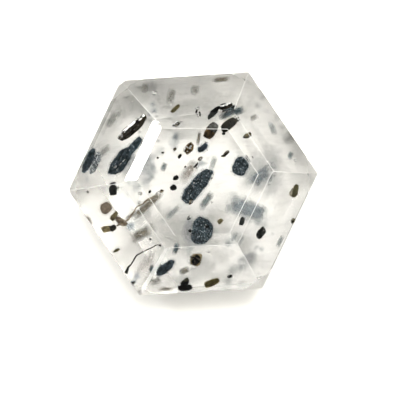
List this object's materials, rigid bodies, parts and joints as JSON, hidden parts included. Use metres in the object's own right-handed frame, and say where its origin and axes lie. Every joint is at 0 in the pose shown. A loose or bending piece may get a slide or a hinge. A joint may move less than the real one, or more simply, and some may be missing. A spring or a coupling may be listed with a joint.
{
  "type": "quartz with diopside",
  "caption": "Hexagonal step-cut stone of clear quartz on a flat base, with dark diopside crystals sealed inside it at all depths.",
  "frame": {"origin": "centre of the flat base, on the axis of the cut", "axes": "+Z is the normal of the table, up from the base; +X runs through one of the six corners of the outline"},
  "size_m": [0.0119, 0.0104, 0.0044],
  "materials": {
    "quartz": "polished, clear and colourless",
    "diopside_slate": "slate grey, speckled, satin",
    "diopside_black": "black, vitreous",
    "diopside_olive": "olive brown, slightly translucent",
    "diopside_brown": "brown, slightly translucent",
    "diopside_pale": "pale slate grey, soft-edged under the quartz"
  },
  "bodies": {
    "root": {"quartz_crown": "quartz", "quartz_pavilion": "quartz", "diopside_blade_centre": "diopside_slate", "diopside_blade_upper_left": "diopside_slate", "diopside_blade_silver": "diopside_slate", "diopside_blade_far_left": "diopside_slate", "diopside_flake_far_left": "diopside_slate", "diopside_round_low": "diopside_slate", "diopside_plate_right": "diopside_slate", "diopside_blade_top": "diopside_slate", "diopside_blade_low_left": "diopside_slate", "diopside_prism_golden": "diopside_black", "diopside_prism_north": "diopside_black", "diopside_prism_north_east": "diopside_olive", "diopside_prism_white_spot": "diopside_brown", "diopside_prism_olive_north": "diopside_olive", "diopside_prism_black_top": "diopside_black", "diopside_blade_silver_top": "diopside_slate", "diopside_prism_hexagon_west": "diopside_black", "diopside_prism_south_west": "diopside_olive", "diopside_prism_olive_west": "diopside_olive", "diopside_prism_brown_west": "diopside_brown", "diopside_prism_olive_south": "diopside_olive", "diopside_prism_olive_east": "diopside_olive", "diopside_prism_south_east": "diopside_black", "diopside_prism_lobed": "diopside_black", "diopside_oval_north": "diopside_slate", "diopside_oval_east": "diopside_slate", "diopside_oval_south_east": "diopside_slate", "diopside_grain_slate_west": "diopside_slate", "diopside_grain_olive_table": "diopside_olive", "diopside_grain_black_table": "diopside_black", "diopside_grain_slate_south": "diopside_slate", "diopside_grain_south_west": "diopside_slate", "diopside_string_brown": "diopside_brown", "diopside_string_tail": "diopside_brown", "diopside_deep_brown_west": "diopside_brown", "diopside_deep_cloud_east": "diopside_pale", "diopside_deep_corner": "diopside_pale", "diopside_deep_centre": "diopside_brown", "diopside_deep_south_table": "diopside_pale", "diopside_deep_south_west": "diopside_pale", "diopside_deep_rod_north": "diopside_brown", "diopside_deep_rod_table": "diopside_pale", "diopside_deep_corner_north_west": "diopside_pale", "diopside_deep_west": "diopside_pale", "diopside_deep_rod_top": "diopside_pale", "diopside_deep_top": "diopside_pale", "diopside_deep_top_left": "diopside_pale", "diopside_edge_top": "diopside_brown", "diopside_deep_pale_south_west": "diopside_pale", "diopside_deep_south": "diopside_brown", "diopside_edge_south": "diopside_brown", "diopside_deep_low_left": "diopside_pale", "diopside_deep_blade_east": "diopside_pale", "diopside_teardrop_east": "diopside_pale", "diopside_deep_north_east": "diopside_pale"}
  },
  "joints": []
}
